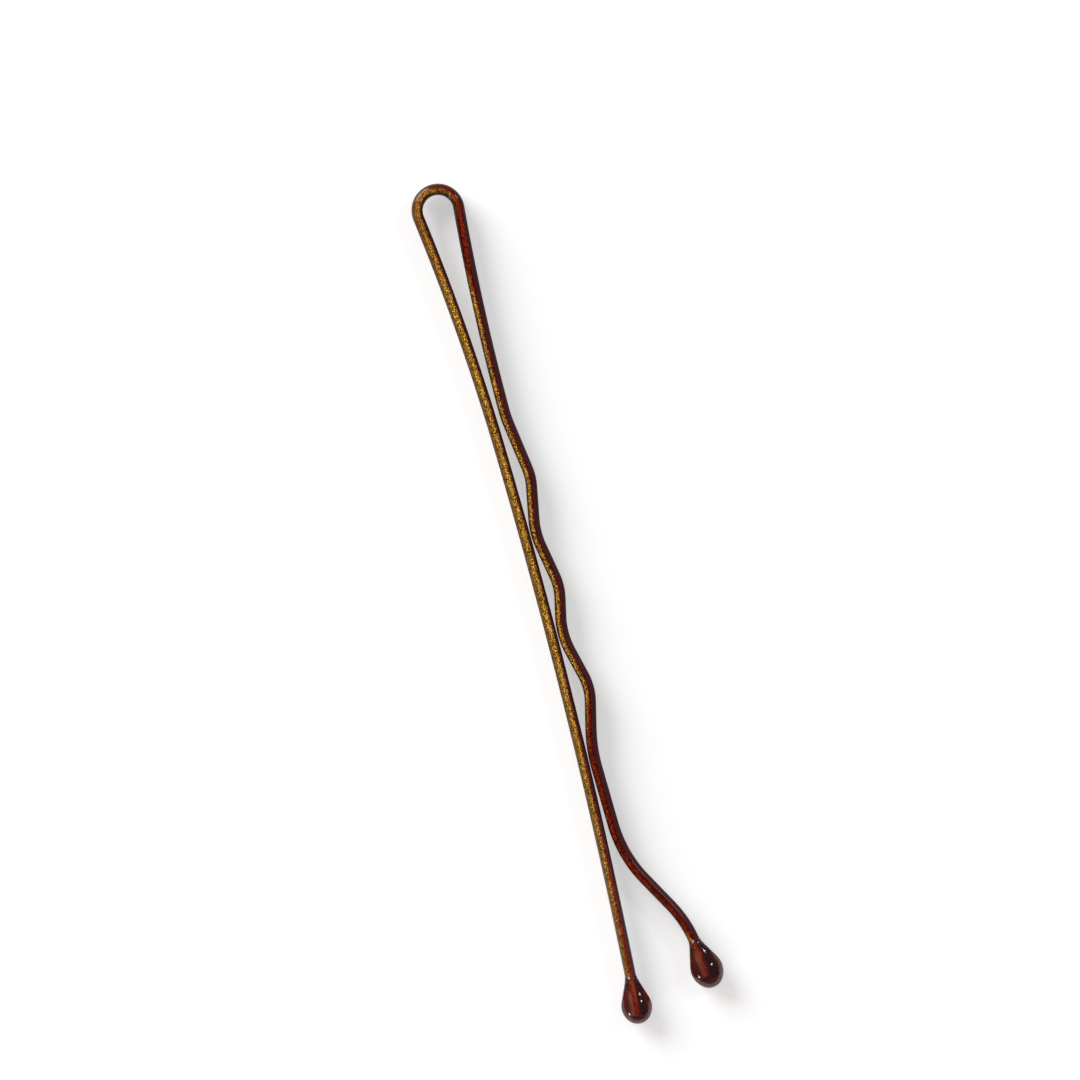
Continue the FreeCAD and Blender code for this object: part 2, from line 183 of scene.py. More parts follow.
class WireSizes(bpy.types.PropertyGroup):
    """The flat spring wire, its loop and its two legs."""

    thickness: length("Thickness", "Across the flat faces", 0.67)
    width: length("Width", "Across the rounded edges", 1.4)
    loop_inner_radius: length("Loop radius", "Inside of the loop", MOUNTS["bow_loop"]["dims"]["r_mm"])
    contact_gap: length("Contact gap", "Between the legs where the waves touch", 0.03)
    root_radius: length("Root radius", "Bend of both legs below the loop", 138.0)
    straight_root_station: length("Straight root", "Where the straight leg's long bow begins", 14.8)
    straight_bow_radius: length("Straight bow radius", "Long bow of the straight leg", 380.0)
    straight_tail: length("Straight tail", "From the last touch to the straight bead's neck", 12.93)
    wavy_root_station: length("Wavy root", "Where the wavy leg's lead-in begins", 12.4)
    lead_in_gap: length("Lead-in gap", "Between the legs at the lead-in", 0.222)
    seam_station: length("Seam", "Below the loop's centre, where the two meshes of the wire meet", 1.2)
    flex_reach: length("Flex reach", "How far the bending spreads each way from a flex point", 6.1)
    ring_step: length("Ring step", "Longest distance between two rings of the mesh", 0.22)
    corner_cuts: count("Corner cuts", "Faces round a quarter of the edge", 7)


class WaveSizes(bpy.types.PropertyGroup):
    """The three waves of the wavy leg and its flared end."""

    crest_radius: length("Crest radius", "Bend at each crest", 3.4)
    crest_steps: lengths("Crest steps", "Down to each crest from the bend before", 4.01, 3.22, 3.55)
    crest_rises: lengths("Crest rises", "Height of each crest over the touches", 0.55, 0.43, 0.64)
    crest_runs: lengths("Crest runs", "Straight run before each crest", 2.83, 1.92, 1.64)
    touch_steps: lengths("Touch steps", "Down to each touch from the crest before", 3.49, 2.8, 4.2)
    touch_runs: lengths("Touch runs", "Straight run before each touch", 1.93, 1.12, 1.63)
    end_radii: lengths("End radii", "Bends after the last touch, at the flare and at the tip", 9.0, 7.6, 7.1)
    end_leans: angles("End leans", "Lean of the wire after each of those bends", -0.2, 28.0, 7.7)
    end_runs: lengths("End runs", "Straight run after each of those bends", 3.455, 2.16, 0.15)


class BeadSizes(bpy.types.PropertyGroup):
    """The resin beads: of each pair, the straight leg's bead and then the wavy leg's."""

    neck_film: length("Neck film", "Resin over the wire at a bead's neck", 0.05)
    collar: length("Collar", "How far the resin climbs the wire above the neck", 0.35)
    collar_film: length("Collar film", "Resin over the wire at the top of the collar", 0.005)
    bellies: lengths("Bellies", "From the neck to the widest place", 1.6, 1.7)
    side_films: lengths("Side films", "Resin over the wire's edges at the widest place", 0.21, 0.26)
    end_films: lengths("End films", "Resin below the wire's end", 0.55, 0.75)
    wire_ends: lengths("Wire ends", "From the widest place to the wire's end", 0.5, 0.4)
    end_round: length("End round", "Round of the wire's cut end", 0.07)
    end_cuts: count("End cuts", "Faces across that round", 3)
    corner_cuts: count("Corner cuts", "Faces round a quarter of a bead", 12)
    rows: count("Rows", "Rings along each stretch of a bead", 9)


class Flakes(bpy.types.PropertyGroup):
    """Colours of the enamel and of its flakes, and how the flakes lie."""

    # Dark enamel, which shows mostly in the painted-shade band without flakes on faces turned to +X
    enamel: colour("Enamel", "Dark smooth enamel that the flakes leave bare", 0.09, 0.023, 0.028)
    # Painted shade: deep red for the flakes on faces turned away from the light, from its dark end to its
    # bright end
    red_enamel: colour("Red enamel", "Clear red enamel, thick over the flakes", 0.022, 0.0015, 0.0006)
    red_flake: colour("Red flake", "Flakes that shine through the red enamel", 0.12, 0.0085, 0.002)
    dark_flake: colour("Dark flake", "Darkest of the flakes", 0.018, 0.0075, 0.002)
    copper_flake: colour("Copper flake", "Flakes of the middle shade", 0.125, 0.053, 0.0065)
    gold_flake: colour("Gold flake", "Palest of the flakes", 0.345, 0.186, 0.027)
    copper_shade: share("Copper shade", "Place of the middle shade between the others", 0.55)
    tip_copper: colour("Tip copper", "Flakes on the wire's end inside a bead", 0.75, 0.13, 0.02)
    # Painted light: pale brown for the wire's side that faces -X inside a bead, where light comes through
    # the resin
    tip_side: colour("Tip side", "Flat side that faces -X on the wire's end inside a bead", 0.43, 0.33, 0.18)
    size: length("Size", "Distance between neighbouring flakes", 0.05)
    turn: numbers("Turn", "Turn of the cells against the pin, in radians", 0.62, 0.41, 0.73)
    dot: numbers("Dot", "Where a flake's bright middle starts to fade and where it ends", 0.3, 0.8)
    least_shade: number("Least shade", "Shade in the middle of the dullest flake", 0.7)
    more_shade: number("More shade", "How much the brightest flake has beyond that", 0.6)
    tilt: share("Tilt", "How far single flakes lie out of the surface", 0.7)
    straight_lean: direction("Straight lean", "Lean on the loop and the straight leg", -0.35, 0.547, 0)
    wavy_lean: direction("Wavy lean", "Lean on the wavy leg", 0.15, 0.496, 0)
    sparse: share("Sparse", "How much of the smooth enamel has flakes too", 0.02)
    side: share("Side", "How much of the flat side that faces +X has flakes", 0.45)
    roughness: share("Roughness", "Roughness of enamel and flakes", 0.42)


# The gold, red and flake bands paint light and shade: gold flakes on the lit side, red-brown flakes and bare
# dark enamel on the shaded side
class Bands(bpy.types.PropertyGroup):
    """Where the enamel changes: stations lie down the pin, slopes say how far a face is turned to +X."""

    loop_fade: lengths("Loop fade", "Stations over which the loop's finish gives way", -1, 1.5)
    loop_slope: share("Loop slope", "Weight of +X and of +Y in the slope on the loop", 0.7)
    lean_fade: lengths("Lean fade", "Stations over which the flakes change their lean", 1.2, 5)
    left_fade: lengths("Left fade", "Places across the pin between the loop's left and right", -1, 0.4)
    left_gold_end: number("Left gold end", "Slope at which the gold ends on the loop's left", 0.45)
    left_flakes_end: number("Left flakes end", "Slope at which the flakes end on the loop's left", 0.6)
    coppery_fade: lengths("Coppery fade", "Stations over which the loop's red tint fades", -0.5, 6)
    coppery: share("Coppery", "Red tint of the gold on the loop", 0.42)
    gold_blur: number("Gold blur", "How far each way from its end the gold fades", 0.3)
    flakes_blur: number("Flakes blur", "How far each way from their end the flakes thin out", 0.14)
    outer_slopes: numbers("Outer slopes", "Slopes between the flat side at -X and the full flakes", -1, -0.5)
    outer_flakes: share("Outer flakes", "How much of that flat side has flakes", 0.55)
    side_rise: number("Side rise", "Square of the upward share at which a flat side ends", 0.25)
    side_slope: number("Side slope", "Slope at which the flat side at +X is complete", 0.5)
    side_gold: share("Side gold", "How much of the red that flat side loses", 0.6)
    neck_fade: length("Neck fade", "How far each way from a bead's neck the wire changes", 0.3)
    tip_fade: lengths("Tip fade", "Depths below a neck over which the wire's side turns brown", 0.3, 1.1)
    tip_slopes: numbers("Tip slopes", "Slopes between that side and the wire's edges", -0.7, -0.3)
    flat_rise: number("Flat rise", "Square of the upward share at which the flat sides' gloss ends", 0.03)
    flat_gloss: share("Flat gloss", "Gloss of the flat sides", 0.4)
    loop_gloss: share("Loop gloss", "Gloss that the loop has beyond the legs'", 0.16)
    flake_dulling: share("Flake dulling", "How much of the gloss a flake loses", 0.8)
    gloss_roughness: share("Gloss roughness", "Roughness of the clear gloss", 0.06)
    gloss_index: number("Gloss index", "Refractive index of the clear gloss", 2.0)


class Resin(bpy.types.PropertyGroup):
    """The clear resin of the beads."""

    body: colour("Body", "What the resin lets through", 0.5, 0.02, 0.05)
    skin: colour("Skin", "What the resin's surface lets through", 0.6, 0.24, 0.2)
    density: number("Density", "How fast the body takes up light", 2300)
    index: number("Index", "Refractive index", 1.5)
    roughness: share("Roughness", "Least roughness of the surface", 0.05)
    more_roughness: share("More roughness", "How much the ripples add to it", 0.05)
    ripples: number("Ripples", "Ripples per metre", 900)
    ripple_detail: number("Ripple detail", "Finer layers in the ripples", 2)
    ripple_depth: length("Ripple depth", "Depth of the ripples", 0.1)
    ripple_strength: share("Ripple strength", "How strongly the ripples show", 0.05)


class StageSizes(bpy.types.PropertyGroup):
    """The camera over the pin, the floor under it and the light all round."""

    frame_width: length("Frame width", "Width of the picture at the pin", 63.504)
    aim: lengths("Aim", "Point in the middle of the picture", 0.353, -20.285)
    turn: angle("Turn", "Turn of the picture about the line of sight", -16.19)
    lens: number("Lens", "Focal length in millimetres", 450)
    floor_width: length("Floor width", "Side of the floor", 40000)
    floor: colour("Floor", "Colour of the floor", 0.8, 0.8, 0.8)
    floor_glow: share("Floor glow", "How much whiter the floor looks than it is lit", 0.47)
    air: share("Air", "Light from all round", 0.2)
    clip_start: length("Clip start", "Nearest distance that the camera sees", 10)


class PinSettings(bpy.types.PropertyGroup):
    """Everything that the operators read."""

    wire: PointerProperty(type=WireSizes)
    wave: PointerProperty(type=WaveSizes)
    bead: PointerProperty(type=BeadSizes)
    flakes: PointerProperty(type=Flakes)
    bands: PointerProperty(type=Bands)
    resin: PointerProperty(type=Resin)
    stage: PointerProperty(type=StageSizes)


# Centreline of the wire

Turn = namedtuple("Turn", "centre radius angle")
Run = namedtuple("Run", "lean length")


def heading(lean):
    """Direction of a wire that runs down the pin and leans towards +X by that angle."""
    return Vector((math.sin(lean), -math.cos(lean), 0))


def left_of(lean):
    return Vector((math.cos(lean), math.sin(lean), 0))


class Bend:
    """A round bend of the wire, followed down the pin."""

    def __init__(self, centre, radius, turn):
        self.centre = centre
        self.radius = radius
        self.turn = turn

    def at(self, lean):
        return self.centre - left_of(lean) * (self.turn * self.radius)

    def lean_at(self, station):
        return math.asin(self.turn * (self.centre.y + station) / self.radius)

    def turned(self, first_lean, last_lean):
        return Turn(self.centre, self.radius, last_lean - first_lean)


class WavePoint:
    """A point of the wavy leg where one bend gives way to the next."""

    def __init__(self, place, lean, turn):
        self.place = place
        self.lean = lean
        self.turn = turn

    def bend(self, radius):
        return Bend(self.place + left_of(self.lean) * (self.turn * radius), radius, self.turn)

    def fitted_bend(self, crest, run):
        """Left bend at this point that a straight run of that length joins to the crest's bend."""
        across = self.place - crest.centre
        slack = across.dot(across) - crest.radius**2 - run**2
        return self.bend(slack / (2 * (crest.radius - across.dot(left_of(self.lean)))))


def run_between(first, second):
    """Lean of the straight run from one bend to the next."""
    across = second.centre - first.centre
    offset = second.turn * second.radius - first.turn * first.radius
    return math.atan2(across.x, -across.y) - math.asin(offset / across.length)


def swing(first, second, crest_radius, run):
    """Moves from a crest to the bend after it, or from a bend to the crest after it."""
    crest, low = (first, second) if first.turn == RIGHT_TURN else (second, first)
    bends = {crest: crest.bend(crest_radius)}
    bends[low] = low.fitted_bend(bends[crest], run)
    lean = run_between(bends[first], bends[second])
    return [
        bends[first].turned(first.lean, lean),
        Run(lean, run),
        bends[second].turned(lean, second.lean),
    ]


def lay_out(wire):
    """The loop and the long bends of both legs, which mirror each other as far as the lead-in."""
    loop_radius = wire.loop_inner_radius + wire.thickness / 2
    reach = loop_radius + wire.root_radius
    lead_in = Vector(((wire.lead_in_gap + wire.thickness) / 2, wire.wavy_root_station))
    squares = reach**2 + lead_in.length_squared - wire.root_radius**2
    toe_in = math.pi / 2 - math.atan2(*lead_in) - math.acos(squares / (2 * reach * lead_in.length))
    root_x, root_y = reach * math.cos(toe_in), -reach * math.sin(toe_in)
    straight_root = Bend(Vector((-root_x, root_y, 0)), wire.root_radius, RIGHT_TURN)
    wavy_root = Bend(Vector((root_x, root_y, 0)), wire.root_radius, LEFT_TURN)
    meet_lean = straight_root.lean_at(wire.straight_root_station)
    bow_centre = straight_root.at(meet_lean) - left_of(meet_lean) * wire.straight_bow_radius
    return SimpleNamespace(
        loop_radius=loop_radius,
        toe_in=toe_in,
        straight_root=straight_root,
        wavy_root=wavy_root,
        meet_lean=meet_lean,
        straight_bow=Bend(bow_centre, wire.straight_bow_radius, RIGHT_TURN),
        seam_lean=straight_root.lean_at(wire.seam_station),
    )


def wave_apexes(wire, wave, layout):
    """The crests and touches in order, each with the run before it."""
    station = wire.wavy_root_station
    spacing = layout.straight_bow.radius + wire.thickness + wire.contact_gap
    apexes = []
    for index in range(len(wave.crest_steps)):
        for turn, step, rise, run in (
            (RIGHT_TURN, wave.crest_steps[index], wave.crest_rises[index], wave.crest_runs[index]),
            (LEFT_TURN, wave.touch_steps[index], 0, wave.touch_runs[index]),
        ):
            station += step
            lane = Bend(layout.straight_bow.centre, spacing + rise, RIGHT_TURN)
            lean = lane.lean_at(station)
            apexes.append((WavePoint(lane.at(lean), lean, turn), run))
    return apexes, station


def wavy_path(settings):
    """Moves from the seam over the loop and down the wavy leg, with its bead's neck and lean."""
    wire, wave, layout = settings.wire, settings.wave, lay_out(settings.wire)
    root_lean = layout.wavy_root.lean_at(wire.wavy_root_station)
    moves = [
        layout.straight_root.turned(layout.seam_lean, layout.toe_in),
        Turn(Vector(), layout.loop_radius, -math.pi - 2 * layout.toe_in),
        layout.wavy_root.turned(-layout.toe_in, root_lean),
    ]
    point = WavePoint(layout.wavy_root.at(root_lean), root_lean, LEFT_TURN)
    for apex, run in wave_apexes(wire, wave, layout)[0]:
        moves += swing(point, apex, wave.crest_radius, run)
        point = apex
    place, lean = point.place, point.lean
    end_turns = (LEFT_TURN, LEFT_TURN, RIGHT_TURN)
    for radius, last_lean, run, turn in zip(wave.end_radii, wave.end_leans, wave.end_runs, end_turns):
        bend = WavePoint(place, lean, turn).bend(radius)
        moves += [bend.turned(lean, last_lean), Run(last_lean, run)]
        place, lean = bend.at(last_lean) + heading(last_lean) * run, last_lean
    return moves, place, lean


def straight_path(settings):
    """Moves from the seam down the straight leg, with its bead's neck and lean."""
    wire, wave, layout = settings.wire, settings.wave, lay_out(settings.wire)
    neck_station = wave_apexes(wire, wave, layout)[1] + wire.straight_tail
    tip_lean = layout.straight_bow.lean_at(neck_station)
    moves = [
        layout.straight_root.turned(layout.seam_lean, layout.meet_lean),
        layout.straight_bow.turned(layout.meet_lean, tip_lean),
    ]
    return moves, layout.straight_bow.at(tip_lean), tip_lean


# Modelling


def add_section(name, place, lean, thickness, width, cuts):
    """A flat face with full round ends, standing square to a wire at that place."""
    if bpy.context.mode != "OBJECT":
        bpy.ops.object.mode_set(mode="OBJECT")
    bpy.ops.object.select_all(action="DESELECT")
    bpy.ops.mesh.primitive_plane_add(size=1, location=place, rotation=(math.pi / 2, 0, lean))
    piece = bpy.context.object
    piece.name = piece.data.name = name
    piece.scale = (thickness, width, 1)
    bpy.ops.object.transform_apply(location=True, rotation=True, scale=True)
    bpy.ops.object.mode_set(mode="EDIT")
    bpy.ops.mesh.select_all(action="SELECT")
    bpy.ops.mesh.bevel(offset=thickness / 2, segments=cuts, affect="VERTICES", clamp_overlap=False)
    bpy.ops.mesh.select_all(action="SELECT")
    bpy.ops.mesh.remove_doubles(threshold=MERGE_DISTANCE)
    return piece


def extrude(shift):
    bpy.ops.mesh.extrude_region_move(TRANSFORM_OT_translate={"value": shift})


def follow(moves, ring_step):
    """Draw the selected section on along the moves."""
    for move in moves:
        if isinstance(move, Turn):
            steps = math.ceil(abs(move.angle) * move.radius / ring_step)
            bpy.ops.mesh.spin(steps=steps, angle=-move.angle, center=move.centre, axis=UP_AXIS)
        else:
            steps = math.ceil(move.length / ring_step)
            for _ in range(steps):
                extrude(heading(move.lean) * (move.length / steps))


def close_mesh(piece):
    """Merge doubles, turn the faces outwards and shade the round places smooth."""
    bpy.ops.mesh.select_all(action="SELECT")
    bpy.ops.mesh.remove_doubles(threshold=MERGE_DISTANCE)
    bpy.ops.mesh.normals_make_consistent(inside=False)
    bpy.ops.object.mode_set(mode="OBJECT")
    bpy.ops.object.shade_smooth_by_angle(angle=SMOOTH_ANGLE)
    return piece


def sweep_wire(name, settings, moves, lean, side):
    """Sweep the wire's section from the seam along the moves and on into the bead of that side."""
    wire, bead, layout = settings.wire, settings.bead, lay_out(settings.wire)
    seam = layout.straight_root.at(layout.seam_lean)
    piece = add_section(name, seam, layout.seam_lean, wire.thickness, wire.width, wire.corner_cuts)
    index = SIDES.index(side)
    depth = bead.bellies[index] + bead.wire_ends[index]
    follow([*moves, Run(lean, depth)], wire.ring_step)
    bpy.ops.mesh.bevel(offset=bead.end_round, segments=bead.end_cuts, affect="EDGES")
    return close_mesh(piece)


def smooth_step(part):
    return part * part * (3 - 2 * part)


def bead_rings(settings, side):
    """Rings of a bead as (depth below the neck, half width, half height, roundness)."""
    wire, bead, index = settings.wire, settings.bead, SIDES.index(side)
    belly = bead.bellies[index]
    radius = wire.width / 2 + bead.side_films[index]
    nose = bead.wire_ends[index] + bead.end_films[index]
    swell = (nose - HALF_MEET * radius) / MEET_SPAN
    cap = (radius - HALF_MEET * nose) / MEET_SPAN
    neck = wire.thickness / 2 + bead.neck_film
    to_neck = Vector((neck - radius + swell, belly))
    flank_angle = math.atan2(to_neck.y, to_neck.x) - math.acos(swell / to_neck.length)
    flank_width = radius - swell + swell * math.cos(flank_angle)
    flank_depth = belly - swell * math.sin(flank_angle)

    outline = []
    for row in range(bead.rows + 1):
        part = row / bead.rows
        outline.append((flank_depth * part, neck + (flank_width - neck) * part))
    for row in range(1, 2 * bead.rows + 1):
        lean = flank_angle - (flank_angle + MEET_ANGLE) * row / (2 * bead.rows)
        outline.append((belly - swell * math.sin(lean), radius - swell + swell * math.cos(lean)))
    for row in range(1, bead.rows):
        lean = MEET_ANGLE + (math.pi / 2 - MEET_ANGLE) * row / bead.rows
        outline.append((belly + nose - cap + cap * math.sin(lean), cap * math.cos(lean)))

    film_height = wire.width / 2 + bead.neck_film
    rings = []
    for depth, half_width in outline:
        part = min((half_width - neck) / (film_height - neck), 1)
        roundness = smooth_step(part) if depth < belly else 1
        film = film_height if depth < belly else 0
        half_height = (film**FILM_POWER + half_width**FILM_POWER) ** (1 / FILM_POWER)
        rings.append((depth, half_width, half_height, roundness))
    return rings, belly + nose


def loft_bead(name, settings, side, neck_place, lean):
    """A drop of resin that starts as a film round the wire and swells to a round bead."""
    wire, bead = settings.wire, settings.bead
    film = 2 * bead.collar_film
    collar = Vector((0, bead.collar, 0))
    piece = add_section(name, collar, 0, wire.thickness + film, wire.width + film, bead.corner_cuts)
    rings, length_below_neck = bead_rings(settings, side)
    last_depth = -bead.collar
    for depth, half_width, half_height, roundness in rings:
        extrude((0, last_depth - depth, 0))
        if roundness:
            bpy.ops.transform.tosphere(value=roundness)
        bpy.ops.object.mode_set(mode="OBJECT")
        ring = [vertex.co for vertex in piece.data.vertices if vertex.select]
        now_width, now_height = max(place.x for place in ring), max(place.z for place in ring)
        bpy.ops.object.mode_set(mode="EDIT")
        bpy.ops.transform.resize(
            value=(half_width / now_width, 1, half_height / now_height), center_override=(0, -depth, 0)
        )
        last_depth = depth
    extrude((0, last_depth - length_below_neck, 0))
    bpy.ops.mesh.merge(type="CENTER")
    close_mesh(piece)
    smoother = piece.modifiers.new("Smooth resin", "SUBSURF")
    smoother.levels = smoother.render_levels = 1
    bpy.ops.object.modifier_apply(modifier=smoother.name)
    piece.rotation_euler.z = lean
    piece.location = neck_place
    bpy.ops.object.transform_apply(location=True, rotation=True, scale=True)
    return piece


# Materials


class Signal:
    """A socket that adds a Math node for each sum that it takes part in."""

    def __init__(self, tree, socket=None):
        self.tree = tree
        self.socket = socket

    def node(self, kind, settings=None, sockets=None, output=0):
        """Output of a new node, with its settings made first and then its sockets set or linked."""
        made = self.tree.nodes.new(kind)
        for setting, value in (settings or {}).items():
            if setting == "stops":
                self.set_stops(made.color_ramp.elements, value)
            else:
                setattr(made, setting, value)
        for name, value in (sockets or {}).items():
            if isinstance(value, Signal):
                self.tree.links.new(value.socket, made.inputs[name])
            else:
                made.inputs[name].default_value = value
        return Signal(self.tree, made.outputs[output]) if made.outputs else None

    @staticmethod
    def set_stops(elements, stops):
        """Give a ramp these stops, as (place, colour or grey level) in rising order."""
        elements.remove(elements[1])
        for index, (place, level) in enumerate(stops):
            stop = elements.new(place) if index else elements[0]
            stop.position = place
            stop.color = opaque(level) if isinstance(level, Color) else (level, level, level, 1)

    def sum(self, operation, *values):
        return self.node("ShaderNodeMath", {"operation": operation}, dict(enumerate(values)))

    def vector(self, operation, *values):
        return self.node("ShaderNodeVectorMath", {"operation": operation}, dict(enumerate(values)))

    def scaled(self, vector, factor):
        return self.node("ShaderNodeVectorMath", {"operation": "SCALE"}, {0: vector, "Scale": factor})

    def mix(self, first, second):
        """Colour between the first and the second, with this value as the share of the second."""
        sockets = {"Factor": self, 6: first, 7: second}
        return self.node("ShaderNodeMix", {"data_type": "RGBA"}, sockets, output=2)

    def __add__(self, other):
        return self.sum("ADD", self, other)

    def __sub__(self, other):
        return self.sum("SUBTRACT", self, other)

    def __mul__(self, other):
        return self.sum("MULTIPLY", self, other)

    def __rsub__(self, other):
        return self.sum("SUBTRACT", other, self)

    def __lt__(self, other):
        return self.sum("LESS_THAN", self, other)

    __radd__ = __add__
    __rmul__ = __mul__


def opaque(rgb):
    return (*rgb, 1)


def new_tree(name):
    """An empty material and its shader tree."""
    material = bpy.data.materials.new(name)
    material.use_nodes = True
    material.node_tree.nodes.clear()
    return material, Signal(material.node_tree)


def part_of(tree, vector, axis):
    return tree.node("ShaderNodeSeparateXYZ", sockets={"Vector": vector}, output=axis)


def fade(tree, value, low, high, first=0.0, last=1.0):
    """First where the value is low, last where it is high, and a smooth change between them."""
    return tree.node(
        "ShaderNodeMapRange",
        {"interpolation_type": "SMOOTHSTEP"},
        {"Value": value, "From Min": low, "From Max": high, "To Min": first, "To Max": last},
    )


def down_the_pin(tree, station, stops):
    """Value between -1 and 1 that changes down the pin, squeezed into the 0 to 1 that a ramp holds."""
    top, bottom = stops[0][0], stops[-1][0]
    ends = {"From Min": top * MM, "From Max": bottom * MM}
    place = tree.node("ShaderNodeMapRange", sockets={"Value": station, **ends})
    levels = [((at - top) / (bottom - top), (value + 1) / 2) for at, value in stops]
    return tree.node("ShaderNodeValToRGB", {"stops": levels}, {"Fac": place}) * 2.0 - 1.0


def enamel_masks(tree, places, bands, stops, neck_station):
    """Where each finish of the wire lies, as shares from 0 to 1; the gold, red and bare bands among them are
    painted light and shade.
    """
    facing = tree.node("ShaderNodeTexCoord", output="Normal")
    facing_x, facing_y, facing_z = (part_of(tree, facing, axis) for axis in "XYZ")
    rise = facing_z * facing_z
    station = part_of(tree, places, "Y") * -1.0
    loop = fade(tree, station, *bands.loop_fade, 1.0, 0.0)
    below_loop = fade(tree, station, *bands.lean_fade)
    slope = facing_x * (1 - loop * (1 - bands.loop_slope)) + facing_y * loop * bands.loop_slope

    left = fade(tree, part_of(tree, places, "X"), *bands.left_fade, 1.0, 0.0) * (1 - below_loop)
    gold_end = down_the_pin(tree, station, stops.gold) * (1 - left) + left * bands.left_gold_end
    flakes_end = down_the_pin(tree, station, stops.flakes) * (1 - left) + left * bands.left_flakes_end
    side = fade(tree, rise, 0.0, bands.side_rise, 1.0, 0.0) * fade(tree, slope, 0.0, bands.side_slope)
    coppery = fade(tree, station, *bands.coppery_fade, bands.coppery, 0.0)
    # Painted shade: red-brown flakes instead of gold where a face turns past the gold end
    red = fade(tree, slope, gold_end - bands.gold_blur, gold_end + bands.gold_blur)
    # Painted shade: no flakes, only dark smooth enamel, where a face turns past the flakes' end
    painted_lit_flakes = fade(tree, slope, flakes_end - bands.flakes_blur, flakes_end + bands.flakes_blur, 1.0, 0.0)
    tip = fade(tree, station, *(neck_station + depth for depth in bands.tip_fade))
    return SimpleNamespace(
        loop=loop,
        below_loop=below_loop,
        side=side,
        red=(red * (1 - coppery) + coppery) * (1 - side * bands.side_gold),
        painted_lit_flakes=painted_lit_flakes * fade(tree, slope, *bands.outer_slopes, bands.outer_flakes, 1.0),
        in_bead=fade(tree, station, neck_station - bands.neck_fade, neck_station + bands.neck_fade),
        # Painted light: pale brown on the wire's -X side inside a bead
        tip_side=tip * fade(tree, slope, *bands.tip_slopes, 1.0, 0.0),
        flat=fade(tree, rise, 0.0, bands.flat_rise, 1.0, 0.0),
        smooth_gloss=down_the_pin(tree, station, stops.gloss),
    )


def flake_cells(tree, places, flakes):
    """Random colour and shade of each flake: bright in the middle of its cell and dark at the rim."""
    turned = tree.node("ShaderNodeMapping", sockets={"Vector": places, "Rotation": flakes.turn})
    cells = {"Vector": turned, "Scale": 1 / flakes.size}
    chance = tree.node("ShaderNodeTexVoronoi", {"feature": "F1"}, cells, output="Color")
    off_centre = tree.node("ShaderNodeTexVoronoi", {"feature": "F1"}, cells, output="Distance")
    luck = tree.node("ShaderNodeSeparateColor", sockets={"Color": chance}, output="Green")
    shade = fade(tree, off_centre, *flakes.dot, 1.0, 0.0) * (luck * flakes.more_shade + flakes.least_shade)
    return chance, shade


def flake_enamel(name, settings, stops, first_lean, last_lean, neck_station):
    """Enamel in bands round the wire, painted as light and shade by how a face turns: gold flakes on the lit
    side, then red-brown flakes and bare dark enamel on the shaded side.

    The flakes have the first lean on the loop and the last lean below it.
    """
    flakes, bands = settings.flakes, settings.bands
    material, tree = new_tree(name)
    places = tree.node("ShaderNodeTexCoord", output="Object")
    masks = enamel_masks(tree, places, bands, stops, neck_station)
    chance, shade = flake_cells(tree, places, flakes)
    lottery = tree.node("ShaderNodeSeparateColor", sockets={"Color": chance}, output="Red")
    flake = lottery < masks.painted_lit_flakes + masks.side * flakes.side + flakes.sparse

    shades = ((0, flakes.dark_flake), (flakes.copper_shade, flakes.copper_flake), (1, flakes.gold_flake))
    metal = tree.node("ShaderNodeValToRGB", {"stops": shades}, {"Fac": shade})
    # Painted shade: flakes on the shaded side take deep red instead of gold
    painted_shade_stops = ((0, flakes.red_enamel), (1, flakes.red_flake))
    painted_shade_metal = tree.node("ShaderNodeValToRGB", {"stops": painted_shade_stops}, {"Fac": shade})
    flakes_lit_and_shaded = masks.red.mix(metal, painted_shade_metal)
    flakes_lit_and_shaded = (masks.in_bead * shade * masks.red).mix(flakes_lit_and_shaded, opaque(flakes.tip_copper))
    tint = flake.mix(opaque(flakes.enamel), flakes_lit_and_shaded)

    surface = tree.node("ShaderNodeNewGeometry", output="Normal")
    scatter = tree.scaled(tree.vector("SUBTRACT", chance, MIDDLE_CHANCE), flakes.tilt)
    lean = tree.vector("ADD", first_lean, tree.scaled(last_lean - first_lean, masks.below_loop))
    aslant = tree.scaled(tree.vector("ADD", scatter, lean), flake)
    gloss = masks.smooth_gloss * (1 - flake * bands.flake_dulling) + masks.loop * bands.loop_gloss
    shader = tree.node(
        "ShaderNodeBsdfPrincipled",
        sockets={
            "Base Color": masks.tip_side.mix(tint, opaque(flakes.tip_side)),
            "Metallic": flake * (1 - masks.tip_side),
            "Roughness": flakes.roughness,
            "Specular IOR Level": 0.0,
            "Normal": tree.vector("NORMALIZE", tree.vector("ADD", surface, aslant)),
            "Coat Weight": tree.sum("MAXIMUM", gloss, masks.flat * bands.flat_gloss),
            "Coat Roughness": bands.gloss_roughness,
            "Coat IOR": bands.gloss_index,
        },
    )
    tree.node("ShaderNodeOutputMaterial", sockets={"Surface": shader})
    return material


